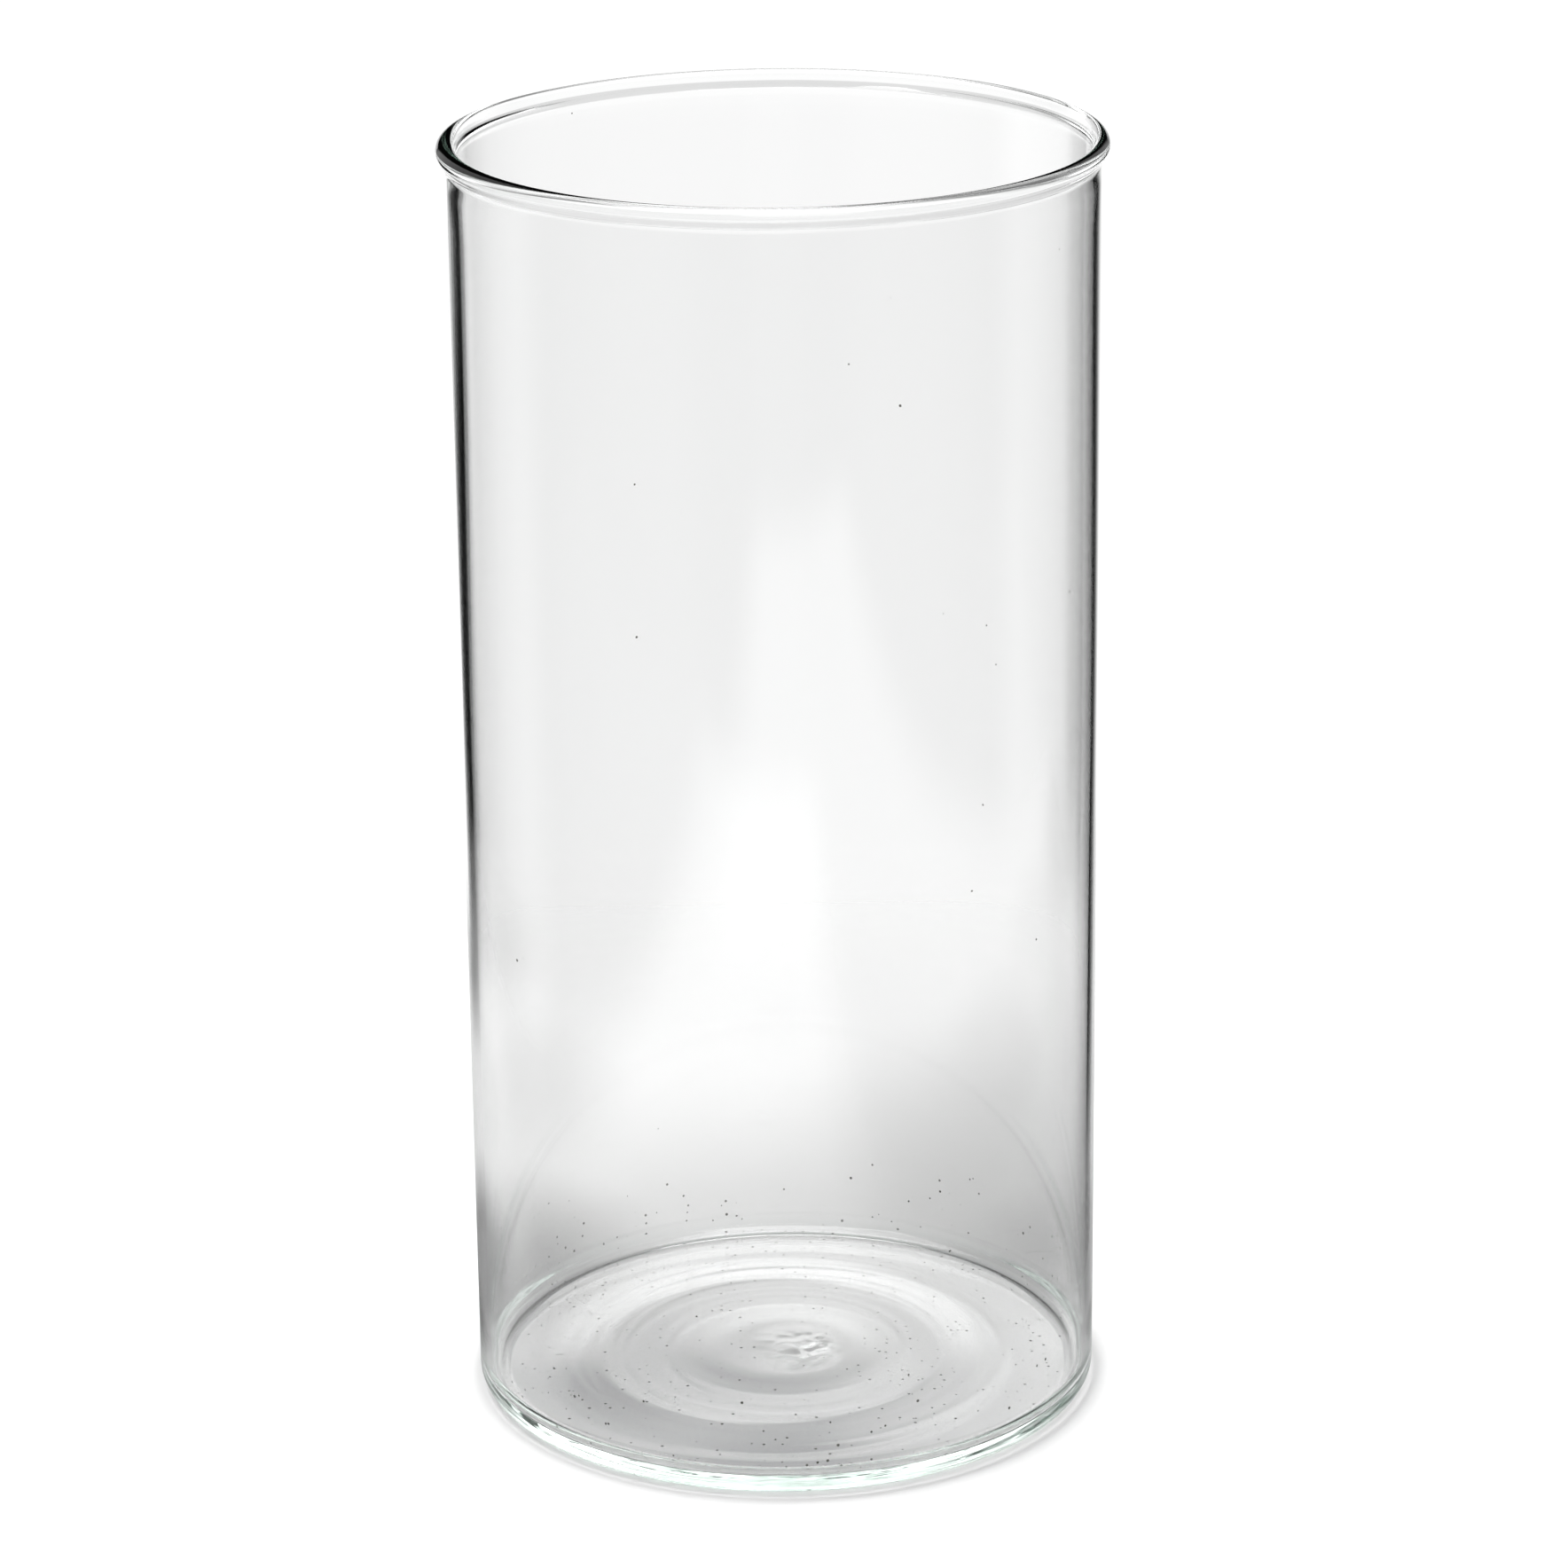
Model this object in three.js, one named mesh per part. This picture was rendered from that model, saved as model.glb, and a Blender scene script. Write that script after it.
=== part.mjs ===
// A plain glass cylinder vase: a worked base, a straight wall and a thickened, fire-polished rim.
// Millimetres, +Z up. The origin is the centre of the foot, on the surface that the vase stands on.

import * as THREE from "three";

// Driving dimensions.
const HEIGHT = 200;
const BODY_DIAMETER = 98;
const WALL_THICKNESS = 1.5;

const LIP_DIAMETER = 100.3; // across the outside of the lip
const LIP_THICKNESS = 2.7; // of the rounded bead that the flame leaves
const FLARE_HEIGHT = 5; // of the stretch in which the wall thickens into the lip
const FLARE_POWER = 1.5; // 1 would be a cone, more keeps the lower end straighter

const BASE_THICKNESS = 2.2; // at the outer ring of the floor
const HEEL_RADIUS = 2.2; // outside, where the wall turns under
const FLOOR_FILLET_RADIUS = 3.4; // inside, where the wall meets the floor
const FOOT_RING_WIDTH = 12; // flat ring that the vase stands on
const PUNT_DEPTH = 0.8; // hollow of the underside
const PUNT_SLOPE_WIDTH = 6; // of the slope from the foot ring up into the hollow
const STEP_OUTER_RADIUS = 36; // foot of the step up to the floor's raised middle
const STEP_INNER_RADIUS = 30; // top of that step
const STEP_HEIGHT = 0.5;
const NUB_RADIUS = 8.5; // low swelling left at the middle of the floor
const NUB_HEIGHT = 0.5;

// Facets: the turns divide by four, so that corners lie on the X and Y axes.
const TURN_STEPS = 64;
const ARC_STEPS = 6;
const SLOPE_STEPS = 5;

// Worked out from the driving dimensions.
const BODY_RADIUS = BODY_DIAMETER / 2;
const BORE_RADIUS = BODY_RADIUS - WALL_THICKNESS;
const LIP_ROUND = LIP_THICKNESS / 2;
const LIP_CENTRE_RADIUS = LIP_DIAMETER / 2 - LIP_ROUND;
const LIP_CENTRE_Z = HEIGHT - LIP_ROUND;
const RIM_START_Z = HEIGHT - FLARE_HEIGHT;
const FOOT_OUTER_RADIUS = BODY_RADIUS - HEEL_RADIUS;
const FOOT_INNER_RADIUS = FOOT_OUTER_RADIUS - FOOT_RING_WIDTH;
const PUNT_RADIUS = FOOT_INNER_RADIUS - PUNT_SLOPE_WIDTH;
const FLOOR_RADIUS = BORE_RADIUS - FLOOR_FILLET_RADIUS;
const RAISED_Z = BASE_THICKNESS + STEP_HEIGHT;

// One look for all of the glass: clear, with the faint grey-green of its iron.
function clearGlass() {
  return new THREE.MeshStandardMaterial({
    color: 0xdfe6e3,
    roughness: 0.04,
    metalness: 0,
    transparent: true,
    opacity: 0.35,
  });
}

// Points of a circular arc in the profile plane, both ends included.
function arc(centreRadius, centreZ, radius, startAngle, endAngle, steps = ARC_STEPS) {
  return Array.from({ length: steps + 1 }, (_, i) => {
    const angle = THREE.MathUtils.lerp(startAngle, endAngle, i / steps);
    return new THREE.Vector2(
      centreRadius + radius * Math.cos(angle),
      centreZ + radius * Math.sin(angle),
    );
  });
}

// Points of a rule that gives a profile point for each share of the way along it.
function along(rule, steps = SLOPE_STEPS) {
  return Array.from({ length: steps + 1 }, (_, i) => rule(i / steps));
}

// A solid of revolution about +Z. The profile runs anticlockwise seen with +Z up.
function turned(name, profile) {
  const geometry = new THREE.LatheGeometry(profile, TURN_STEPS);
  geometry.rotateX(Math.PI / 2);
  const mesh = new THREE.Mesh(geometry, clearGlass());
  mesh.name = name;
  return mesh;
}

// A slope between two profile points that is level at both of its ends.
function slope(fromRadius, fromZ, toRadius, toZ) {
  return along((share) => {
    const rise = 0.5 - 0.5 * Math.cos(Math.PI * share);
    return new THREE.Vector2(
      THREE.MathUtils.lerp(fromRadius, toRadius, share),
      THREE.MathUtils.lerp(fromZ, toZ, rise),
    );
  });
}

// The base: a thin round slab with a hollow under it, a foot ring, a rounded heel, and a floor
// that steps up to a raised flat middle with a low swelling in it.
function base() {
  return turned("base", [
    new THREE.Vector2(0, PUNT_DEPTH),
    ...slope(PUNT_RADIUS, PUNT_DEPTH, FOOT_INNER_RADIUS, 0),
    ...arc(FOOT_OUTER_RADIUS, HEEL_RADIUS, HEEL_RADIUS, -Math.PI / 2, 0).slice(0, -1),
    new THREE.Vector2(BODY_RADIUS, BASE_THICKNESS),
    new THREE.Vector2(FLOOR_RADIUS, BASE_THICKNESS),
    ...slope(STEP_OUTER_RADIUS, BASE_THICKNESS, STEP_INNER_RADIUS, RAISED_Z),
    ...slope(NUB_RADIUS, RAISED_Z, 0, RAISED_Z + NUB_HEIGHT),
  ]);
}

// The wall: a straight tube that stands on the base, with a fillet at its foot inside.
function wall() {
  const filletZ = BASE_THICKNESS + FLOOR_FILLET_RADIUS;
  const fillet = arc(FLOOR_RADIUS, filletZ, FLOOR_FILLET_RADIUS, 0, -Math.PI / 2);
  return turned("wall", [
    new THREE.Vector2(FLOOR_RADIUS, BASE_THICKNESS),
    new THREE.Vector2(BODY_RADIUS, BASE_THICKNESS),
    new THREE.Vector2(BODY_RADIUS, RIM_START_Z),
    new THREE.Vector2(BORE_RADIUS, RIM_START_Z),
    ...fillet,
  ]);
}

// One side of the flare, from the wall up to the lip: side is 1 outside and -1 inside.
function flarePoint(share, side) {
  const lean = share ** FLARE_POWER;
  const wallCentreRadius = BODY_RADIUS - WALL_THICKNESS / 2;
  const centreRadius = THREE.MathUtils.lerp(wallCentreRadius, LIP_CENTRE_RADIUS, lean);
  const halfThickness = THREE.MathUtils.lerp(WALL_THICKNESS / 2, LIP_ROUND, lean);
  return new THREE.Vector2(
    centreRadius + side * halfThickness,
    THREE.MathUtils.lerp(RIM_START_Z, LIP_CENTRE_Z, share),
  );
}

// The rim: the wall thickens outwards into a fully rounded lip.
function rim() {
  const outside = along((share) => flarePoint(share, 1));
  const inside = along((share) => flarePoint(1 - share, -1));
  const lip = arc(LIP_CENTRE_RADIUS, LIP_CENTRE_Z, LIP_ROUND, 0, Math.PI);
  return turned("rim", [
    ...outside,
    ...lip.slice(1, -1),
    ...inside,
    outside[0],
  ]);
}

const vase = new THREE.Group();
vase.add(base(), wall(), rim());

export default vase;
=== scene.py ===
"""Visual model of a clear glass cylinder vase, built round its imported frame.

The vase is one piece of glass. Its profile is worked out from the frame's sizes, and a Geometry Nodes
tree turns that profile about the vase's axis, as a lathe would, and adds the low waves that blowing
leaves in the wall.
"""

import logging
import math
from collections.abc import Iterator
from dataclasses import dataclass, field
from enum import Enum

import bpy
from mathutils import Matrix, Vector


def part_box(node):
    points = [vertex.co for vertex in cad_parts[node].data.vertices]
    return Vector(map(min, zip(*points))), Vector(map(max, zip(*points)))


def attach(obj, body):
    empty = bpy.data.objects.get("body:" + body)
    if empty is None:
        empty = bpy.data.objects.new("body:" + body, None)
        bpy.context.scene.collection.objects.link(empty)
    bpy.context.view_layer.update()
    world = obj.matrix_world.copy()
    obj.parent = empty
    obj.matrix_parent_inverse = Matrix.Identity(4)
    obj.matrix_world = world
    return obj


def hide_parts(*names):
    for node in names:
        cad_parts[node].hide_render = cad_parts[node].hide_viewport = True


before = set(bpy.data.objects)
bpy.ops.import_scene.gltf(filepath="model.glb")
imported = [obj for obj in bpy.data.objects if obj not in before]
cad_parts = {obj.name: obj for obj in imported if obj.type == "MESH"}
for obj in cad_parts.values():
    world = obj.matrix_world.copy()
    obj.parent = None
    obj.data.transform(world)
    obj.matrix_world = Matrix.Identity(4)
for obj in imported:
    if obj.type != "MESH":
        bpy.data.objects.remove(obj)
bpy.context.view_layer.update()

MM = 0.001
LOG = logging.getLogger("vase")


def linear(hex_colour: str) -> tuple[float, float, float, float]:
    """Turns an sRGB hex colour to the linear colour that shaders take.

    Args:
        hex_colour: six hex digits, such as "E6F0EA".

    Returns:
        Red, green, blue and an alpha of 1, each from 0 to 1.
    """
    shares = [int(hex_colour[i : i + 2], 16) / 255 for i in (0, 2, 4)]
    lit = [s / 12.92 if s <= 0.04045 else ((s + 0.055) / 1.055) ** 2.4 for s in shares]
    return (lit[0], lit[1], lit[2], 1.0)


def add_node(
    tree: bpy.types.NodeTree,
    kind: str,
    inputs: dict[str | int, object] | None = None,
    **settings: object,
) -> bpy.types.Node:
    """Adds a node with its settings, its values and its links.

    Args:
        tree: the node tree that gets the node.
        kind: the node's type name.
        inputs: input name or number to a value, or to what feeds it: an output socket, or a node
            for its first output.
        settings: properties of the node itself, such as operation="MULTIPLY".

    Returns:
        The new node.
    """
    node = tree.nodes.new(kind)
    for name, value in settings.items():
        setattr(node, name, value)
    for key, value in (inputs or {}).items():
        feed = value.outputs[0] if isinstance(value, bpy.types.Node) else value
        if isinstance(feed, bpy.types.NodeSocket):
            tree.links.new(feed, node.inputs[key])
        else:
            node.inputs[key].default_value = feed
    return node


def empty_tree(owner: bpy.types.Material | bpy.types.World) -> bpy.types.NodeTree:
    """Gives a material or a world an empty node tree.

    Args:
        owner: what gets the tree.

    Returns:
        The tree.
    """
    owner.use_nodes = True
    owner.node_tree.nodes.clear()
    return owner.node_tree


def put_in_scene(name: str, data: bpy.types.ID) -> bpy.types.Object:
    """Makes an object of a mesh, a camera or a light, and links it to the scene.

    Args:
        name: of the object.
        data: what it shows.

    Returns:
        The object.
    """
    made = bpy.data.objects.new(name, data)
    bpy.context.scene.collection.objects.link(made)
    return made


def eased(share: float) -> float:
    """Returns share on a curve that starts and ends level, both 0 to 1."""
    return 0.5 - 0.5 * math.cos(math.pi * min(max(share, 0.0), 1.0))


def blended(low: float, high: float, share: float) -> float:
    """Returns the value that lies share of the way from low to high."""
    return low + (high - low) * share


@dataclass(frozen=True)
class Ring:
    """One circle of the vessel's skin, which the lathe tree draws.

    Args:
        radius: from the axis, in metres.
        height: above the table, in metres.
        wave: share of the blown wall's waviness here, 0 to 1.
        inside: 1 on the inner skin and 0 on the outer.
        lean: how far the circle's centre lies to +X of the axis, in metres.
        wrinkle: share of the wrinkles at the middle of the floor, 0 to 1.
    """

    radius: float
    height: float
    wave: float = 0.0
    inside: float = 0.0
    lean: float = 0.0
    wrinkle: float = 0.0


@dataclass(frozen=True)
class Ridge:
    """A low ring that the mould or the lathe leaves in a flat face of the base.

    Args:
        radius: of its crest, in metres.
        rise: height of its crest, in metres.
        width: of the ring across its foot, in metres.
    """

    radius: float
    rise: float
    width: float

    def height_at(self, radius: float) -> float:
        """Returns the ring's own height at that radius."""
        return self.rise * math.exp(-((2 * (radius - self.radius) / self.width) ** 2))


@dataclass(frozen=True)
class Step:
    """A soft slope up towards the axis.

    Args:
        outer: radius of its foot, in metres.
        inner: radius of its top, in metres.
        rise: from its foot to its top, in metres.
    """

    outer: float
    inner: float
    rise: float

    def height_at(self, radius: float) -> float:
        """Returns how far the face has risen at that radius."""
        return self.rise * eased((self.outer - radius) / (self.outer - self.inner))


@dataclass(frozen=True)
class VesselProfile:
    """The vase's section from the middle of its underside round to the middle of its floor.

    Args:
        height: of the whole vase.
        body_radius: outside of the straight wall.
        lip_radius: outside of the lip.
        flare_start: height at which the wall starts to thicken.
        floor_height: of the floor above the table.
        lip_thickness: of the bead that the flame leaves.
        neck_radius: of the hollow round between the wall's outside and the bead.
        wall_thin: thickness of the wall low down.
        wall_thick: thickness of the wall under the lip.
        thin_until: height up to which the wall is thin.
        thick_from: height from which it is thick.
        lean_low: how far the bore lies off the axis at the floor.
        lean_high: how far it lies off the axis under the lip.
        heel_radius: of the round outside, where the wall turns under.
        fillet_radius: of the round inside, where the wall meets the floor.
        foot_lean: how far the hollow underneath lies off the axis.
        nub_radius: of the low swelling in the middle of the floor.
        nub_height: of that swelling.
        nub_lean: how far it lies off the axis.
        under_steps: slopes of the hollow underneath, the outermost first.
        floor_steps: slopes of the floor.
        floor_ridges: low rings in the floor.
        flare_below_rim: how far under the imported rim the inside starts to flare.
        wave_fade: height over which the wall's waves start above the floor and end below the flare.
    """

    height: float
    body_radius: float
    lip_radius: float
    flare_start: float
    floor_height: float
    lip_thickness: float = 2.7 * MM
    neck_radius: float = 2.5 * MM
    wall_thin: float = 1.3 * MM
    wall_thick: float = 1.65 * MM
    thin_until: float = 95 * MM
    thick_from: float = 185 * MM
    lean_low: float = 0.11 * MM
    lean_high: float = 0.3 * MM
    heel_radius: float = 2.2 * MM
    fillet_radius: float = 3.4 * MM
    foot_lean: float = -2.5 * MM
    nub_radius: float = 8.0 * MM
    nub_height: float = 0.4 * MM
    nub_lean: float = 3.0 * MM
    under_steps: tuple[Step, ...] = (
        Step(37.5 * MM, 26.0 * MM, 0.50 * MM),
        Step(20.0 * MM, 9.0 * MM, 0.15 * MM),
    )
    floor_steps: tuple[Step, ...] = (
        Step(44.0 * MM, 0.0 * MM, 0.50 * MM),
        Step(38.0 * MM, 26.0 * MM, 0.40 * MM),
        Step(20.0 * MM, 14.0 * MM, 0.10 * MM),
    )
    floor_ridges: tuple[Ridge, ...] = (
        Ridge(35.0 * MM, 0.04 * MM, 1.8 * MM),
        Ridge(31.5 * MM, 0.05 * MM, 1.8 * MM),
        Ridge(28.0 * MM, 0.03 * MM, 1.5 * MM),
        Ridge(26.0 * MM, 0.03 * MM, 1.4 * MM),
        Ridge(19.0 * MM, 0.03 * MM, 1.4 * MM),
    )
    flare_below_rim: float = 1.5 * MM
    wave_fade: float = 25 * MM

    @classmethod
    def from_frame(cls) -> "VesselProfile":
        """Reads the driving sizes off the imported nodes.

        Returns:
            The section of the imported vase.
        """
        rim_low, rim_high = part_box("rim")
        wall_low, wall_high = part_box("wall")
        return cls(
            height=rim_high.z,
            body_radius=wall_high.x,
            lip_radius=rim_high.x,
            flare_start=rim_low.z - cls.flare_below_rim,
            floor_height=wall_low.z,
        )

    @property
    def lip_round(self) -> float:
        """Radius of the rounded lip."""
        return self.lip_thickness / 2

    @property
    def lip_centre_radius(self) -> float:
        """Distance from the axis to the middle of the lip's round."""
        return self.lip_radius - self.lip_round

    @property
    def lip_centre_height(self) -> float:
        """Height of the middle of the lip's round."""
        return self.height - self.lip_round

    @property
    def neck(self) -> tuple[float, float, float]:
        """The round of the neck, which touches the straight wall and the bead.

        Returns:
            Radius and height of its centre, and the angle in degrees at which it meets the bead.
        """
        radius = self.body_radius + self.neck_radius
        out = radius - self.lip_centre_radius
        drop = math.sqrt((self.lip_round + self.neck_radius) ** 2 - out**2)
        return radius, self.lip_centre_height - drop, math.degrees(math.atan2(drop, -out))

    def thickness_at(self, height: float) -> float:
        """Returns the wall's thickness there: blown thinner low down than under the lip."""
        share = (height - self.thin_until) / (self.thick_from - self.thin_until)
        return blended(self.wall_thin, self.wall_thick, eased(share))

    def lean_at(self, height: float) -> float:
        """Returns how far the bore's middle lies off the axis at that height."""
        return blended(self.lean_low, self.lean_high, eased(height / self.flare_start))

    def wave_at(self, height: float) -> float:
        """Returns the share of the wall's waviness at that height: none at the base or the lip."""
        above, below = height - self.floor_height, self.flare_start - height
        return eased(above / self.wave_fade) * eased(below / self.wave_fade)

    def leaning(self, radius: float, full: float, edge: float) -> float:
        """Returns how much of a lean a ring takes: none at the axis and the edge, all at full."""
        return eased(radius / full) if radius < full else eased((edge - radius) / (edge - full))

    def arc(
        self, radius: float, height: float, size: float, start: float, end: float, steps: int
    ) -> Iterator[tuple[float, float]]:
        """Walks along a circular arc, both ends included.

        Args:
            radius: of the arc's centre from the axis.
            height: of the arc's centre.
            size: the arc's own radius.
            start: angle of the first point, in degrees, 0 outwards and 90 up.
            end: angle of the last point, in degrees.
            steps: how many chords to cut it into.

        Yields:
            Radius and height of each point.
        """
        for i in range(steps + 1):
            angle = math.radians(blended(start, end, i / steps))
            yield radius + size * math.cos(angle), height + size * math.sin(angle)

    def underside(self) -> Iterator[Ring]:
        """Draws the hollow under the base and the foot ring.

        Yields:
            Each ring from the axis out to the heel.
        """
        steps = 60
        edge = self.body_radius - self.heel_radius
        hollow = self.under_steps[0].outer
        for i in range(steps):
            radius = edge * i / steps
            rise = sum(step.height_at(radius) for step in self.under_steps)
            yield Ring(radius, rise, lean=self.foot_lean * self.leaning(radius, hollow, edge))

    def heel(self) -> Iterator[Ring]:
        """Draws the rounded outer edge of the foot.

        Yields:
            Each ring from the table up to the wall.
        """
        steps = 12
        centre = self.body_radius - self.heel_radius
        for place in self.arc(centre, self.heel_radius, self.heel_radius, -90, 0, steps):
            yield Ring(*place)

    def outer_wall(self) -> Iterator[Ring]:
        """Draws the outside of the straight wall.

        Yields:
            Each ring from the heel up to the neck.
        """
        steps = 24
        top = self.neck[1]
        for i in range(1, steps):
            height = blended(self.heel_radius, top, i / steps)
            yield Ring(self.body_radius, height, wave=self.wave_at(height))

    def lip(self) -> Iterator[Ring]:
        """Draws the neck and the fire-polished bead, whose inner half takes up the bore's lean.

        Yields:
            Each ring from the outside of the wall, over the top, to the inside of the bead.
        """
        neck_steps, bead_steps = 10, 40
        radius, height, angle = self.neck
        for place in self.arc(radius, height, self.neck_radius, 180, angle, neck_steps):
            yield Ring(*place)
        middle = (self.lip_centre_radius, self.lip_centre_height)
        bead = list(self.arc(*middle, self.lip_round, angle - 180, 180, bead_steps))
        for place in bead[1:]:
            inwards = (self.lip_radius - place[0]) / self.lip_thickness
            yield Ring(*place, lean=self.lean_high * eased(inwards))

    def flare(self) -> Iterator[Ring]:
        """Draws the inside of the flare.

        Yields:
            Each ring from the bead down to the straight wall.
        """
        steps = 12
        wall = self.body_radius - self.thickness_at(self.flare_start)
        for i in range(1, steps + 1):
            share = i / steps
            radius = blended(self.lip_centre_radius - self.lip_round, wall, eased(share))
            height = blended(self.lip_centre_height, self.flare_start, share)
            yield Ring(radius, height, inside=1, lean=self.lean_high)

    def inner_wall(self) -> Iterator[Ring]:
        """Draws the inside of the straight wall.

        Yields:
            Each ring from the flare down to the fillet.
        """
        steps = 24
        low = self.floor_height + self.fillet_radius
        for i in range(1, steps):
            height = blended(self.flare_start, low, i / steps)
            radius = self.body_radius - self.thickness_at(height)
            wave, lean = self.wave_at(height), self.lean_at(height)
            yield Ring(radius, height, wave=wave, inside=1, lean=lean)

    def fillet(self) -> Iterator[Ring]:
        """Draws the inner fillet.

        Yields:
            Each ring from the wall down to the floor.
        """
        steps = 16
        centre = self.body_radius - self.wall_thin - self.fillet_radius
        height = self.floor_height + self.fillet_radius
        for place in self.arc(centre, height, self.fillet_radius, 0, -90, steps):
            yield Ring(*place, inside=1, lean=self.lean_low)

    def floor(self) -> Iterator[Ring]:
        """Draws the floor, with its steps, its low rings and the swelling at its middle.

        Yields:
            Each ring from the fillet in to the axis.
        """
        steps = 80
        edge = self.body_radius - self.wall_thin - self.fillet_radius
        marks = (*self.floor_steps, *self.floor_ridges)
        for i in range(1, steps + 1):
            radius = edge * (1 - i / steps)
            near_middle = 1 - eased(radius / self.nub_radius)
            rise = self.nub_height * near_middle + sum(mark.height_at(radius) for mark in marks)
            lean = self.nub_lean * (1 - eased(radius / (2 * self.nub_radius)))
            yield Ring(radius, self.floor_height + rise, inside=1, lean=lean, wrinkle=near_middle)

    def rings(self) -> list[Ring]:
        """Draws the whole section.

        Returns:
            Its rings, anticlockwise from the middle of the underside.
        """
        return [
            *self.underside(),
            *self.heel(),
            *self.outer_wall(),
            *self.lip(),
            *self.flare(),
            *self.inner_wall(),
            *self.fillet(),
            *self.floor(),
        ]


@dataclass(frozen=True)
class LatheTree:
    """The Geometry Nodes tree that turns a section of rings into a closed glass skin.

    Args:
        turns: steps round the axis.
        wave_height: half the height of the wall's waves.
        wave_width: size of one wave round the vase.
        wave_length: size of one wave up the vase.
        wrinkle_height: half the height of the wrinkles at the middle of the floor.
        wrinkle_width: size of one wrinkle.
        seed: of both patterns.
        inner_seed: what the seed grows by on the inner skin, whose waves are its own.
        weld: distance under which points become one, at the poles and along the seam.
    """

    turns: int = 320
    wave_height: float = 0.006 * MM
    wave_width: float = 13 * MM
    wave_length: float = 160 * MM
    wrinkle_height: float = 0.35 * MM
    wrinkle_width: float = 3.2 * MM
    seed: float = 4.0
    inner_seed: float = 9.0
    weld: float = 0.001 * MM

    def sizes(self) -> dict[str, float]:
        """Names the tree's numbers.

        Returns:
            Each named input of the tree with its value.
        """
        return {
            "Turns": self.turns,
            "Wave Height": self.wave_height,
            "Wave Width": self.wave_width,
            "Wave Length": self.wave_length,
            "Wrinkle Height": self.wrinkle_height,
            "Wrinkle Width": self.wrinkle_width,
            "Seed": self.seed,
            "Inner Seed": self.inner_seed,
            "Weld": self.weld,
        }

    def declare_sockets(self, tree: bpy.types.NodeTree) -> None:
        """Gives the tree its named inputs and its output.

        Args:
            tree: the lathe tree.
        """
        new_socket = tree.interface.new_socket
        new_socket("Section", in_out="INPUT", socket_type="NodeSocketGeometry")
        for name in self.sizes():
            kind = "NodeSocketInt" if name == "Turns" else "NodeSocketFloat"
            new_socket(name, in_out="INPUT", socket_type=kind)
        new_socket("Glass", in_out="INPUT", socket_type="NodeSocketMaterial")
        new_socket("Skin", in_out="OUTPUT", socket_type="NodeSocketGeometry")

    def build(self) -> bpy.types.NodeTree:
        """Builds the tree: a flat grid, one row for each ring, is rolled up round the axis.

        Returns:
            A tree whose geometry input is a mesh with one vertex for each ring.
        """
        tree = bpy.data.node_groups.new("glass_lathe", "GeometryNodeTree")
        self.declare_sockets(tree)
        given = add_node(tree, "NodeGroupInput").outputs
        size = add_node(tree, "GeometryNodeAttributeDomainSize", {"Geometry": given["Section"]})
        rings = size.outputs["Point Count"]
        grid = add_node(
            tree,
            "GeometryNodeMeshGrid",
            {
                "Size X": 1.0,
                "Size Y": 1.0,
                "Vertices X": rings,
                "Vertices Y": add_node(
                    tree, "ShaderNodeMath", {0: given["Turns"], 1: 1.0}, operation="ADD"
                ),
            },
        )
        place = add_node(tree, "GeometryNodeInputPosition")
        across = add_node(tree, "ShaderNodeSeparateXYZ", {0: place}).outputs
        last = add_node(tree, "ShaderNodeMath", {0: rings, 1: 1.0}, operation="SUBTRACT")
        row = add_node(
            tree,
            "ShaderNodeMapRange",
            {"Value": across["X"], "From Min": -0.5, "From Max": 0.5, "To Max": last},
        )
        index = add_node(tree, "ShaderNodeMath", {0: row}, operation="ROUND")
        angle = add_node(
            tree,
            "ShaderNodeMapRange",
            {"Value": across["Y"], "From Min": -0.5, "From Max": 0.5, "To Max": -math.tau},
        )
        rolled = add_node(
            tree,
            "GeometryNodeSetPosition",
            {"Geometry": grid, "Position": self.ring_place(tree, given, index, angle)},
        )
        closed = add_node(
            tree, "GeometryNodeMergeByDistance", {"Geometry": rolled, "Distance": given["Weld"]}
        )
        smooth = add_node(tree, "GeometryNodeSetShadeSmooth", {"Geometry": closed})
        real = add_node(tree, "GeometryNodeRealizeInstances", {"Geometry": smooth})
        dressed = add_node(
            tree, "GeometryNodeSetMaterial", {"Geometry": real, "Material": given["Glass"]}
        )
        add_node(tree, "NodeGroupOutput", {"Skin": dressed})
        return tree

    def ring_value(
        self, tree: bpy.types.NodeTree, section: bpy.types.NodeSocket, index: bpy.types.Node, name: str
    ) -> bpy.types.Node:
        """Reads a ring's own number off the section.

        Args:
            tree: the lathe tree.
            section: the mesh with one vertex for each ring.
            index: which ring to read.
            name: of the attribute that holds the number.

        Returns:
            The node that gives the number.
        """
        stored = add_node(tree, "GeometryNodeInputNamedAttribute", {"Name": name}, data_type="FLOAT")
        return add_node(
            tree,
            "GeometryNodeSampleIndex",
            {"Geometry": section, "Value": stored, "Index": index},
            data_type="FLOAT",
        )

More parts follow.
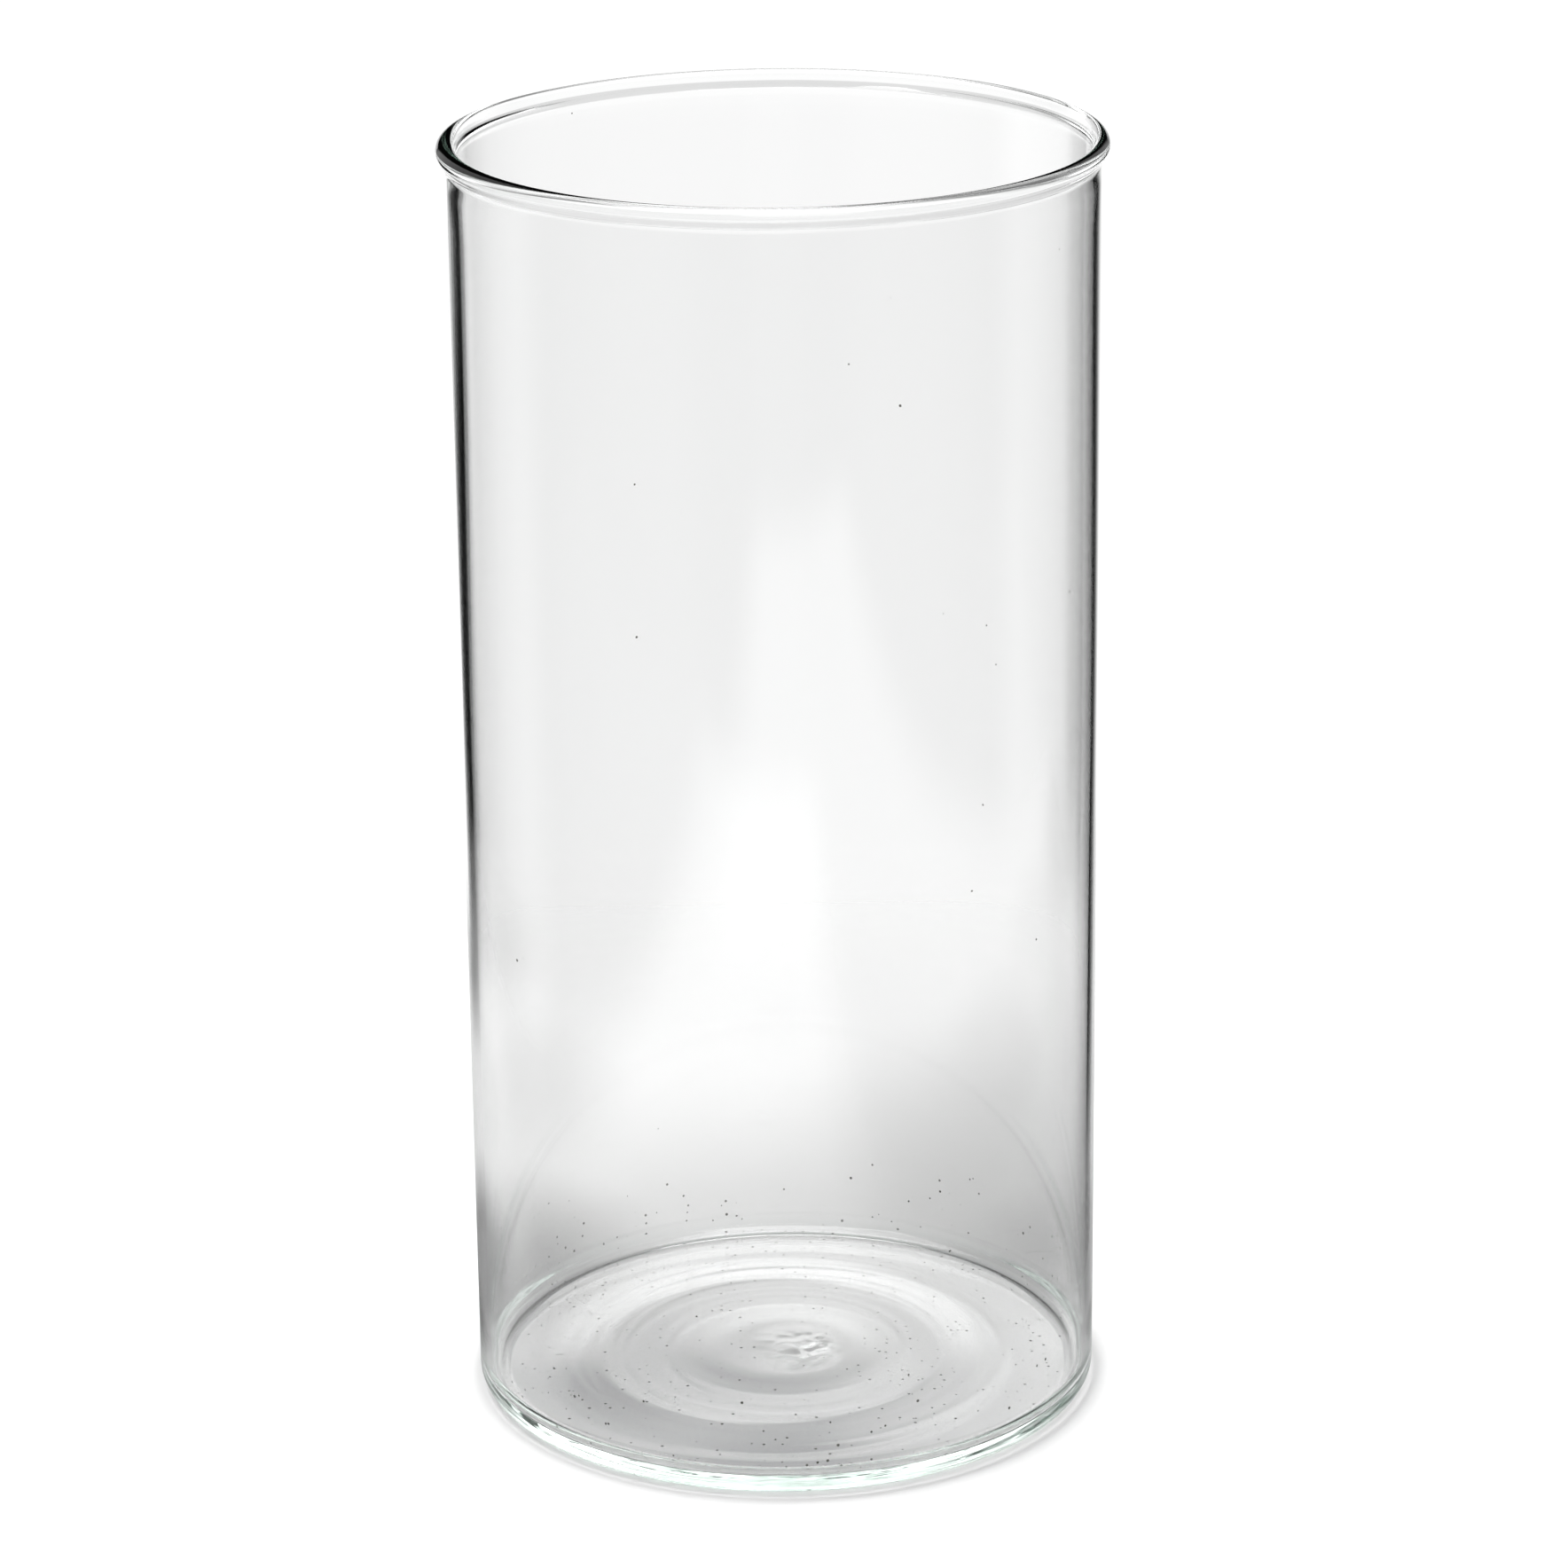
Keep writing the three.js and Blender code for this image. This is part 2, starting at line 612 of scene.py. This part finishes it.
    def relief(
        self,
        tree: bpy.types.NodeTree,
        place: bpy.types.Node,
        width: bpy.types.NodeSocket,
        height: bpy.types.NodeSocket,
        seed: bpy.types.Node | bpy.types.NodeSocket,
        share: bpy.types.Node,
    ) -> bpy.types.Node:
        """Makes smooth random swells and hollows.

        Args:
            tree: the lathe tree.
            place: where on the pattern each point lies.
            width: of one swell.
            height: of the highest swell.
            seed: of the pattern.
            share: how much of the relief a ring takes, 0 to 1.

        Returns:
            The node that gives each point's height in the relief.
        """
        scale = add_node(tree, "ShaderNodeMath", {0: 1.0, 1: width}, operation="DIVIDE")
        noise = add_node(
            tree,
            "ShaderNodeTexNoise",
            {"Vector": place, "W": seed, "Scale": scale, "Detail": 1.0},
            noise_dimensions="4D",
        )
        full = add_node(tree, "ShaderNodeMath", {0: height, 1: share}, operation="MULTIPLY")
        lowest = add_node(tree, "ShaderNodeMath", {0: full, 1: -1.0}, operation="MULTIPLY")
        return add_node(
            tree, "ShaderNodeMapRange", {"Value": noise, "To Min": lowest, "To Max": full}, clamp=False
        )

    def ring_place(
        self,
        tree: bpy.types.NodeTree,
        given: bpy.types.bpy_prop_collection,
        index: bpy.types.Node,
        angle: bpy.types.Node,
    ) -> bpy.types.Node:
        """Works out where each point of the skin goes.

        Args:
            tree: the lathe tree.
            given: the tree's inputs.
            index: which ring the point is on.
            angle: how far round the axis it is, in radians.

        Returns:
            The node that gives the point's place.
        """
        section = given["Section"]
        profile = add_node(tree, "GeometryNodeInputPosition")
        ring = add_node(
            tree,
            "GeometryNodeSampleIndex",
            {"Geometry": section, "Value": profile, "Index": index},
            data_type="FLOAT_VECTOR",
        )
        turned = add_node(
            tree, "ShaderNodeVectorRotate", {"Vector": ring, "Angle": angle}, rotation_type="Z_AXIS"
        )
        drawn_out = add_node(
            tree,
            "ShaderNodeMath",
            {0: given["Wave Width"], 1: given["Wave Length"]},
            operation="DIVIDE",
        )
        stretch = add_node(tree, "ShaderNodeCombineXYZ", {"X": 1.0, "Y": 1.0, "Z": drawn_out})
        seed_there = add_node(
            tree,
            "ShaderNodeMath",
            {
                0: self.ring_value(tree, section, index, "inside"),
                1: given["Inner Seed"],
                2: given["Seed"],
            },
            operation="MULTIPLY_ADD",
        )
        wave = self.relief(
            tree,
            add_node(tree, "ShaderNodeVectorMath", {0: turned, 1: stretch}, operation="MULTIPLY"),
            given["Wave Width"],
            given["Wave Height"],
            seed_there,
            self.ring_value(tree, section, index, "wave"),
        )
        wrinkle = self.relief(
            tree,
            add_node(
                tree, "ShaderNodeVectorMath", {0: turned, 1: (1.0, 1.0, 0.0)}, operation="MULTIPLY"
            ),
            given["Wrinkle Width"],
            given["Wrinkle Height"],
            given["Seed"],
            self.ring_value(tree, section, index, "wrinkle"),
        )
        relief = add_node(tree, "ShaderNodeCombineXYZ", {"X": wave, "Z": wrinkle})
        worked = add_node(tree, "ShaderNodeVectorMath", {0: ring, 1: relief}, operation="ADD")
        blown = add_node(
            tree, "ShaderNodeVectorRotate", {"Vector": worked, "Angle": angle}, rotation_type="Z_AXIS"
        )
        lean = add_node(
            tree, "ShaderNodeCombineXYZ", {"X": self.ring_value(tree, section, index, "lean")}
        )
        return add_node(tree, "ShaderNodeVectorMath", {0: blown, 1: lean}, operation="ADD")


@dataclass(frozen=True)
class ClearSodaGlass:
    """Soda-lime glass, blown and fire-polished: clear, with the grey-green of its iron on long paths.

    Args:
        face: what one clean face passes, all of it.
        dust: what a speck of dust passes.
        iron: what is left of white light after a metre divided by density of glass.
        density: how fast the iron takes light away, per metre.
        ior: of soda-lime glass.
        haze: roughness of the cloudiest wiped patch, where a clean fire-polished face has none.
        haze_size: patches for each metre.
        haze_from: level of the patchy noise at which the haze starts, 0 to 1.
        haze_full: level at which it is whole.
        speck_cells: places for a speck, for each metre.
        speck_radius: of the largest speck, as a share of its place. The smallest is a quarter of it.
        dusty_below: height up to which the glass is dusty.
        clean_above: height above which it has few specks.
        bare_low: share of the places that hold no speck where the glass is dusty.
        bare_high: share that holds none higher up.
    """

    face: str = "FFFFFF"
    dust: str = "3A3834"
    iron: str = "D9EEE4"
    density: float = 7.0
    ior: float = 1.52
    haze: float = 0.012
    haze_size: float = 45.0
    haze_from: float = 0.55
    haze_full: float = 0.75
    speck_cells: float = 600.0
    speck_radius: float = 0.15
    dusty_below: float = 5 * MM
    clean_above: float = 20 * MM
    bare_low: float = 0.45
    bare_high: float = 0.996

    def specks(self, tree: bpy.types.NodeTree, place: bpy.types.NodeSocket) -> bpy.types.Node:
        """Scatters small round specks of dust, most of them low in the vase.

        Args:
            tree: the material's tree.
            place: each point's place on the vase.

        Returns:
            The node that gives 1 on a speck and 0 beside it.
        """
        cells = add_node(
            tree,
            "ShaderNodeTexVoronoi",
            {"Vector": place, "Scale": self.speck_cells},
            voronoi_dimensions="3D",
        ).outputs
        chance, size, _ = add_node(tree, "ShaderNodeSeparateXYZ", {0: cells["Color"]}).outputs
        bare = add_node(
            tree,
            "ShaderNodeMapRange",
            {
                "Value": add_node(tree, "ShaderNodeSeparateXYZ", {0: place}).outputs["Z"],
                "From Min": self.dusty_below,
                "From Max": self.clean_above,
                "To Min": self.bare_low,
                "To Max": self.bare_high,
            },
            interpolation_type="SMOOTHSTEP",
        )
        radius = add_node(
            tree,
            "ShaderNodeMapRange",
            {"Value": size, "To Min": self.speck_radius / 4, "To Max": self.speck_radius},
            interpolation_type="SMOOTHSTEP",
        )
        taken = add_node(tree, "ShaderNodeMath", {0: chance, 1: bare}, operation="GREATER_THAN")
        near = add_node(
            tree, "ShaderNodeMath", {0: cells["Distance"], 1: radius}, operation="LESS_THAN"
        )
        return add_node(tree, "ShaderNodeMath", {0: taken, 1: near}, operation="MULTIPLY")

    def wiping(self, tree: bpy.types.NodeTree, place: bpy.types.NodeSocket) -> bpy.types.Node:
        """Leaves the soft, faintly hazy patches of a cloth on clean glass.

        Args:
            tree: the material's tree.
            place: each point's place on the vase.

        Returns:
            The node that gives each point's roughness.
        """
        patches = add_node(
            tree,
            "ShaderNodeTexNoise",
            {"Vector": place, "Scale": self.haze_size, "Detail": 3.0, "Roughness": 0.6},
        )
        return add_node(
            tree,
            "ShaderNodeMapRange",
            {
                "Value": patches,
                "From Min": self.haze_from,
                "From Max": self.haze_full,
                "To Min": 0.0,
                "To Max": self.haze,
            },
            interpolation_type="SMOOTHSTEP",
        )

    def material(self) -> bpy.types.Material:
        """Builds the glass.

        Its clean faces show the room sharply, its dust and the haze of wiping show that it is
        a used vase, and its iron greens only the light that runs along it, as at the rim.

        Returns:
            The finished material.
        """
        # Blown and fire-polished: its reflections are sharp, and only long paths in it look grey-green.
        made = bpy.data.materials.new("blown_soda_lime_glass")
        tree = empty_tree(made)
        place = add_node(tree, "ShaderNodeTexCoord").outputs["Object"]
        face = add_node(
            tree,
            "ShaderNodeMix",
            {"Factor": self.specks(tree, place), "A": linear(self.face), "B": linear(self.dust)},
            data_type="RGBA",
        ).outputs[2]
        shader = add_node(
            tree,
            "ShaderNodeBsdfPrincipled",
            {
                "Base Color": face,
                "Roughness": self.wiping(tree, place),
                "IOR": self.ior,
                "Transmission Weight": 1.0,
            },
        )
        iron = add_node(
            tree,
            "ShaderNodeVolumeAbsorption",
            {"Color": linear(self.iron), "Density": self.density},
        )
        add_node(tree, "ShaderNodeOutputMaterial", {"Surface": shader, "Volume": iron})
        return made


@dataclass
class GlassVessel:
    """The whole vase: one fused piece of blown glass.

    Args:
        profile: its section.
        lathe: the tree that turns it.
        glass: what it is made of.
    """

    profile: VesselProfile
    lathe: LatheTree = field(default_factory=LatheTree)
    glass: ClearSodaGlass = field(default_factory=ClearSodaGlass)

    def section(self) -> bpy.types.Object:
        """Makes the section that the lathe turns.

        Returns:
            An object with one vertex for each ring, and the rings' numbers as attributes.
        """
        rings = self.profile.rings()
        mesh = bpy.data.meshes.new("vase_section")
        mesh.from_pydata([(ring.radius, 0, ring.height) for ring in rings], [], [])
        for name in ("wave", "inside", "lean", "wrinkle"):
            stored = mesh.attributes.new(name, "FLOAT", "POINT")
            stored.data.foreach_set("value", [getattr(ring, name) for ring in rings])
        return put_in_scene("vase_section", mesh)

    def turn(self, section: bpy.types.Object) -> bpy.types.Mesh:
        """Turns the section on the lathe and takes the section away.

        Args:
            section: the object that holds the rings.

        Returns:
            The skin as a plain mesh, dressed in its glass.
        """
        modifier = section.modifiers.new("lathe", "NODES")
        modifier.node_group = self.lathe.build()
        values = {**self.lathe.sizes(), "Glass": self.glass.material()}
        for item in modifier.node_group.interface.items_tree:
            if item.name in values:
                modifier[item.identifier] = values[item.name]
        graph = bpy.context.evaluated_depsgraph_get()
        mesh = bpy.data.meshes.new_from_object(section.evaluated_get(graph))
        mesh.name = "vase_glass"
        section.modifiers.remove(modifier)
        bpy.data.objects.remove(section)
        return mesh

    def build(self) -> bpy.types.Object:
        """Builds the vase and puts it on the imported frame.

        Returns:
            The finished skin, which rides on the vase's one body.
        """
        skin = put_in_scene("vase_glass", self.turn(self.section()))
        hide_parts("base", "wall", "rim")
        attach(skin, "root")
        return skin


@dataclass(frozen=True)
class Camera:
    """A long lens in front of the vase, looking a little down at it.

    Args:
        distance: from the vase's axis, along the table.
        height: above the table.
        pitch: how far it looks down, in degrees.
        yaw: how far it is turned to the right, in degrees.
        roll: how far it is tipped, in degrees.
        lens: focal length for a 36 mm sensor.
    """

    distance: float = 784.1 * MM
    height: float = 368.4 * MM
    pitch: float = 19.040
    yaw: float = 0.046
    roll: float = -0.628
    lens: float = 122.99

    def place(self) -> bpy.types.Object:
        """Sets the camera up and gives it to the scene.

        Returns:
            The camera.
        """
        data = bpy.data.cameras.new("camera")
        data.lens = self.lens
        data.sensor_width = 36.0
        data.clip_start = 0.01
        data.clip_end = 100.0
        made = put_in_scene("camera", data)
        made.matrix_world = (
            Matrix.Translation((0, -self.distance, self.height))
            @ Matrix.Rotation(math.radians(-self.yaw), 4, "Z")
            @ Matrix.Rotation(math.radians(90 - self.pitch), 4, "X")
            @ Matrix.Rotation(math.radians(self.roll), 4, "Z")
        )
        bpy.context.scene.camera = made
        return made


class Seen(Enum):
    """How a panel shows in the glass."""

    ALWAYS = "through the glass and mirrored in it"
    THROUGH = "only straight through"
    ONCE = "only where one face mirrors it"
    INSIDE = "only mirrored in the faces seen through it"


@dataclass(frozen=True)
class Panel:
    """A soft-edged patch of the studio's surroundings.

    Args:
        brightness: what it adds, with 1 for plain white.
        left: bearing of its left edge from straight behind the vase, in degrees, more to the right.
        right: bearing of its right edge.
        low: elevation of its lower edge, in degrees.
        high: elevation of its upper edge, in degrees.
        left_blur: width of its soft left edge, in degrees.
        right_blur: width of its soft right edge, in degrees.
        blur: width of its soft lower and upper edges, in degrees.
        seen: how it shows in the glass.
    """

    brightness: float
    left: float = -200.0
    right: float = 200.0
    low: float = -90.0
    high: float = 90.0
    left_blur: float = 10.0
    right_blur: float = 10.0
    blur: float = 4.0
    seen: Seen = Seen.ALWAYS


@dataclass(frozen=True)
class Shade:
    """A soft round patch of painted shadow on the table: its paint is made darker there, standing for
    light that doesn't reach it.

    Args:
        right: place of its middle, to the right of the vase's axis.
        back: place of its middle, behind the vase's axis.
        near: radius of its evenly dark middle.
        far: radius at which it has faded.
        left_over: share of the paint's whiteness, in place of the light, that is left in its middle.
    """

    right: float
    back: float
    near: float
    far: float
    left_over: float


def faded(
    tree: bpy.types.NodeTree,
    level: float | bpy.types.Node,
    value: bpy.types.Node | bpy.types.NodeSocket,
    edges: tuple[float, float],
    blurs: tuple[float, float],
) -> bpy.types.Node:
    """Lets a level fade to nothing outside a stretch of another value.

    Args:
        tree: the tree that gets the nodes.
        level: what there is inside the stretch.
        value: what the stretch is measured along.
        edges: its low and its high edge.
        blurs: width of the soft step at each edge.

    Returns:
        The node that gives the faded level.
    """
    # It rises over the low edge and falls over the high one.
    for edge, blur, empty, full in zip(edges, blurs, ("To Min", "To Max"), ("To Max", "To Min")):
        level = add_node(
            tree,
            "ShaderNodeMapRange",
            {
                "Value": value,
                "From Min": edge - blur / 2,
                "From Max": edge + blur / 2,
                empty: 0.0,
                full: level,
            },
            interpolation_type="SMOOTHSTEP",
        )
    return level


@dataclass(frozen=True)
class MattWhitePaint:
    """White emulsion, rolled on and left matt, with painted shadows on it. The glass shows only a lit
    sheet of it.

    Args:
        left: from the vase's axis to the sheet's left edge.
        right: to its right edge.
        front: to its front edge.
        back: to its back edge.
        blur: width of its soft edges.
        painted_shadows: its painted shadows, darker patches as the glass shows them.
        painted_contact_shadow: the painted contact shadow round the foot, as it shows beside the glass.
        glass_white: how white the paint is where the glass shows it.
        plain_white: how white it is where it shows beside the glass.
    """

    left: float = 190 * MM
    right: float = 70 * MM
    front: float = 384 * MM
    back: float = 200 * MM
    blur: float = 90 * MM
    # Painted shadows, seen only through the glass: the vase's own soft shadow round and behind it, and
    # darker patches that darken the wall's edges and parts of the base.
    painted_shadows: tuple[Shade, ...] = (
        Shade(0.0, 0.0, 15 * MM, 140 * MM, 0.55),
        Shade(72 * MM, 88 * MM, 15 * MM, 85 * MM, 0.70),
        Shade(-98 * MM, 105 * MM, 30 * MM, 75 * MM, 0.66),
        Shade(-128 * MM, 190 * MM, 25 * MM, 80 * MM, 0.25),
        Shade(-66 * MM, 38 * MM, 16 * MM, 52 * MM, 0.36),
        Shade(66 * MM, 38 * MM, 12 * MM, 44 * MM, 0.60),
        Shade(-27 * MM, 2 * MM, 6 * MM, 38 * MM, 0.78),
        Shade(0.0, -46 * MM, 6 * MM, 26 * MM, 0.80),
    )
    # A painted contact shadow round the foot, which the camera sees beside the glass.
    painted_contact_shadow: Shade = Shade(0.0, 0.0, 47 * MM, 54 * MM, 0.72)
    glass_white: float = 0.8
    plain_white: float = 0.97

    def painted_shading(
        self,
        tree: bpy.types.NodeTree,
        place: bpy.types.NodeSocket,
        white: float | bpy.types.Node,
        painted_shadows: tuple[Shade, ...],
    ) -> bpy.types.Node:
        """Darkens white paint by some patches of painted shadow.

        Args:
            tree: the paint's tree.
            place: each point's place on the table.
            white: how white the paint is without them.
            painted_shadows: the patches of painted shadow that darken it.

        Returns:
            The node that gives how white each point is.
        """
        for shade in painted_shadows:
            distance = add_node(
                tree,
                "ShaderNodeVectorMath",
                {0: place, 1: (shade.right, shade.back, 0.0)},
                operation="DISTANCE",
            ).outputs["Value"]
            share = add_node(
                tree,
                "ShaderNodeMapRange",
                {
                    "Value": distance,
                    "From Min": shade.near,
                    "From Max": shade.far,
                    "To Min": shade.left_over,
                    "To Max": 1.0,
                },
                interpolation_type="SMOOTHSTEP",
            )
            white = add_node(tree, "ShaderNodeMath", {0: white, 1: share}, operation="MULTIPLY")
        return white

    def material(self, reach: float) -> bpy.types.Material:
        """Builds the paint.

        Args:
            reach: from the vase's axis to where the paint has faded into the backdrop.

        Returns:
            The finished material.
        """
        # Matt: it mirrors nothing, so only its painted shadows show.
        made = bpy.data.materials.new("white_matt_paint")
        tree = empty_tree(made)
        place = add_node(tree, "ShaderNodeTexCoord").outputs["Object"]
        x, y, _ = add_node(tree, "ShaderNodeSeparateXYZ", {0: place}).outputs
        blurs = (self.blur, self.blur)
        lit = faded(tree, 1.0, x, (-self.left, self.right), blurs)
        lit = faded(tree, lit, y, (-self.front, self.back), blurs)
        out = add_node(tree, "ShaderNodeVectorMath", {0: place}, operation="LENGTH").outputs["Value"]
        edge = reach - self.blur
        whole = faded(tree, 1.0, out, (-edge, edge), blurs)
        direct = add_node(tree, "ShaderNodeLightPath").outputs["Is Camera Ray"]
        shown = add_node(
            tree, "ShaderNodeMix", {"Factor": direct, "A": lit, "B": whole}, data_type="FLOAT"
        )
        # Painted light and shade: the camera's own rays see the paint whiter, with only the painted
        # contact shadow, and rays through the glass see it greyer, with the painted shadows.
        white = add_node(
            tree,
            "ShaderNodeMix",
            {
                "Factor": direct,
                "A": self.painted_shading(tree, place, self.glass_white, self.painted_shadows),
                "B": self.painted_shading(tree, place, self.plain_white, (self.painted_contact_shadow,)),
            },
            data_type="FLOAT",
        )
        paint = add_node(tree, "ShaderNodeBsdfDiffuse", {"Color": white})
        clear = add_node(tree, "ShaderNodeBsdfTransparent")
        mixed = add_node(tree, "ShaderNodeMixShader", {0: shown, 1: clear, 2: paint})
        add_node(tree, "ShaderNodeOutputMaterial", {"Surface": mixed})
        return made


@dataclass(frozen=True)
class Studio:
    """A white table in a dim room, with bright panels all round it and a soft light overhead.

    The panels show through the glass, and the gaps between them draw its dark edges.

    Args:
        panels: what stands round the table.
        paint: of the table.
        table_radius: of the table.
        table_depth: of its top, which stays just clear of the foot.
        lamp_power: of the soft light overhead, in watts.
        lamp_size: of its square face.
        lamp_place: of its middle.
        backdrop: brightness of the backdrop beside the vase, with 1 for plain white.
    """

    panels: tuple[Panel, ...] = (
        # A faint glow, so that the darkest gap isn't quite black.
        Panel(0.006),
        # Low behind the vase, the light that the middle of the wall shows.
        Panel(1.02, left=-18.5, right=16, high=2, left_blur=2, right_blur=14),
        # To the sides, what the wall mirrors once.
        Panel(0.80, left=-85, right=-40, high=2, left_blur=20, right_blur=12, seen=Seen.ONCE),
        Panel(0.15, left=-150, right=-85, high=2, left_blur=20, right_blur=20, seen=Seen.ONCE),
        Panel(0.15, left=42, right=90, high=2, left_blur=12, right_blur=30, seen=Seen.ONCE),
        # To the sides and higher up, what shows straight through.
        Panel(0.75, left=-200, right=-42, high=2, right_blur=16, seen=Seen.THROUGH),
        Panel(0.75, left=42, right=200, high=2, left_blur=16, seen=Seen.THROUGH),
        Panel(0.78, left=-20, right=20, low=2, high=24, seen=Seen.THROUGH),
        Panel(0.40, left=-20, right=20, low=24, high=75, seen=Seen.THROUGH),
        # Dim surroundings for the bead, clear of the elevations that draw the wall's dark edges.
        Panel(0.45, left=-200, right=-20, low=-9.5, high=60, right_blur=4, blur=2),
        Panel(0.45, left=20, right=200, low=-9.5, high=60, left_blur=8, blur=2),
        Panel(0.22, high=-29, blur=2),
        # What the base's faces mirror within the glass, as bright arcs on the floor.
        Panel(
            2.15,
            left=-45,
            right=60,
            low=2,
            high=25,
            left_blur=40,
            right_blur=30,
            blur=6,
            seen=Seen.INSIDE,
        ),
        Panel(1.00, left=4, right=80, low=25, high=45, left_blur=8, blur=6, seen=Seen.INSIDE),
        Panel(0.35, left=-200, right=-80, low=5, high=60, right_blur=40, seen=Seen.INSIDE),
        Panel(0.35, left=80, right=200, low=5, high=60, left_blur=40, seen=Seen.INSIDE),
        # Overhead.
        Panel(0.55, low=60),
    )
    paint: MattWhitePaint = MattWhitePaint()
    table_radius: float = 450 * MM
    table_depth: float = -0.2 * MM
    lamp_power: float = 18.6
    lamp_size: float = 1.2
    lamp_place: tuple[float, float, float] = (-0.2, 0.2, 1.4)
    backdrop: float = 1.05

    def build(self) -> None:
        """Makes the surroundings, the table and the lamp."""
        self.surround()
        self.table()
        self.lamp()

    def showing(
        self, tree: bpy.types.NodeTree, rays: bpy.types.bpy_prop_collection
    ) -> dict[Seen, float | bpy.types.Node]:
        """Tells the ways apart in which a panel shows in the glass.

        Args:
            tree: the world's tree.
            rays: what the Light Path node says of each ray.

        Returns:
            For each way, 1 on the rays that it holds for and 0 on the others.
        """
        turns = rays["Glossy Depth"]
        mirrored = add_node(tree, "ShaderNodeMath", {0: turns, 1: 0.5}, operation="GREATER_THAN")
        within_glass = add_node(
            tree, "ShaderNodeMath", {0: rays["Transmission Depth"], 1: 0.5}, operation="GREATER_THAN"
        )
        return {
            Seen.ALWAYS: 1.0,
            Seen.THROUGH: add_node(
                tree, "ShaderNodeMath", {0: turns, 1: 0.5}, operation="LESS_THAN"
            ),
            Seen.ONCE: add_node(
                tree, "ShaderNodeMath", {0: turns, 1: 1.0, 2: 0.5}, operation="COMPARE"
            ),
            Seen.INSIDE: add_node(
                tree, "ShaderNodeMath", {0: mirrored, 1: within_glass}, operation="MULTIPLY"
            ),
        }

    def surround(self) -> bpy.types.World:
        """Makes the ring of panels. The backdrop that the camera sees past the vase is plain white.

        Returns:
            The world.
        """
        world = bpy.data.worlds.new("studio")
        bpy.context.scene.world = world
        tree = empty_tree(world)
        look = add_node(tree, "ShaderNodeTexCoord").outputs["Generated"]
        x, y, z = add_node(tree, "ShaderNodeSeparateXYZ", {0: look}).outputs
        round_about = add_node(tree, "ShaderNodeMath", {0: x, 1: y}, operation="ARCTAN2")
        bearing = add_node(tree, "ShaderNodeMath", {0: round_about}, operation="DEGREES")
        upwards = add_node(tree, "ShaderNodeMath", {0: z}, operation="ARCSINE")
        rise = add_node(tree, "ShaderNodeMath", {0: upwards}, operation="DEGREES")
        rays = add_node(tree, "ShaderNodeLightPath").outputs
        showing = self.showing(tree, rays)
        level = 0.0
        for panel in self.panels:
            share = add_node(
                tree,
                "ShaderNodeMath",
                {0: panel.brightness, 1: showing[panel.seen]},
                operation="MULTIPLY",
            )
            sides, side_blurs = (panel.left, panel.right), (panel.left_blur, panel.right_blur)
            share = faded(tree, share, bearing, sides, side_blurs)
            share = faded(tree, share, rise, (panel.low, panel.high), (panel.blur, panel.blur))
            level = add_node(tree, "ShaderNodeMath", {0: level, 1: share}, operation="ADD")
        strength = add_node(
            tree,
            "ShaderNodeMix",
            {"Factor": rays["Is Camera Ray"], "A": level, "B": self.backdrop},
            data_type="FLOAT",
        )
        panels = add_node(
            tree, "ShaderNodeBackground", {"Color": (1, 1, 1, 1), "Strength": strength}
        )
        add_node(tree, "ShaderNodeOutputWorld", {"Surface": panels})
        return world

    def table(self) -> bpy.types.Object:
        """Makes the white table, which fades into the backdrop away from the vase.

        Returns:
            The table's round top.
        """
        mesh = bpy.data.meshes.new("table")
        steps = 96
        turns = [math.tau * i / steps for i in range(steps)]
        rim = [(self.table_radius * math.cos(t), self.table_radius * math.sin(t)) for t in turns]
        mesh.from_pydata([(*corner, self.table_depth) for corner in rim], [], [list(range(steps))])
        mesh.materials.append(self.paint.material(self.table_radius))
        made = put_in_scene("table", mesh)
        return made

    def lamp(self) -> bpy.types.Object:
        """Hangs the soft light overhead.

        Returns:
            The lamp.
        """
        data = bpy.data.lights.new("softbox", "AREA")
        data.shape = "SQUARE"
        data.size = self.lamp_size
        data.energy = self.lamp_power
        made = put_in_scene("softbox", data)
        made.location = self.lamp_place
        return made


def let_light_through() -> None:
    """Lets light bounce often enough inside the glass, and shows whites as plain white."""
    scene = bpy.context.scene
    scene.cycles.max_bounces = 32
    scene.cycles.glossy_bounces = 24
    scene.cycles.transmission_bounces = 24
    scene.cycles.transparent_max_bounces = 16
    scene.cycles.blur_glossy = 0.0
    scene.view_settings.view_transform = "Standard"


def main() -> None:
    """Builds the vase and the studio round it."""
    logging.basicConfig(level=logging.INFO, format="%(name)s: %(message)s")
    Camera().place()
    vessel = GlassVessel(VesselProfile.from_frame())
    skin = vessel.build()
    LOG.info("%s: %d faces", skin.name, len(skin.data.polygons))
    Studio().build()
    let_light_through()


if __name__ == "__main__":
    main()
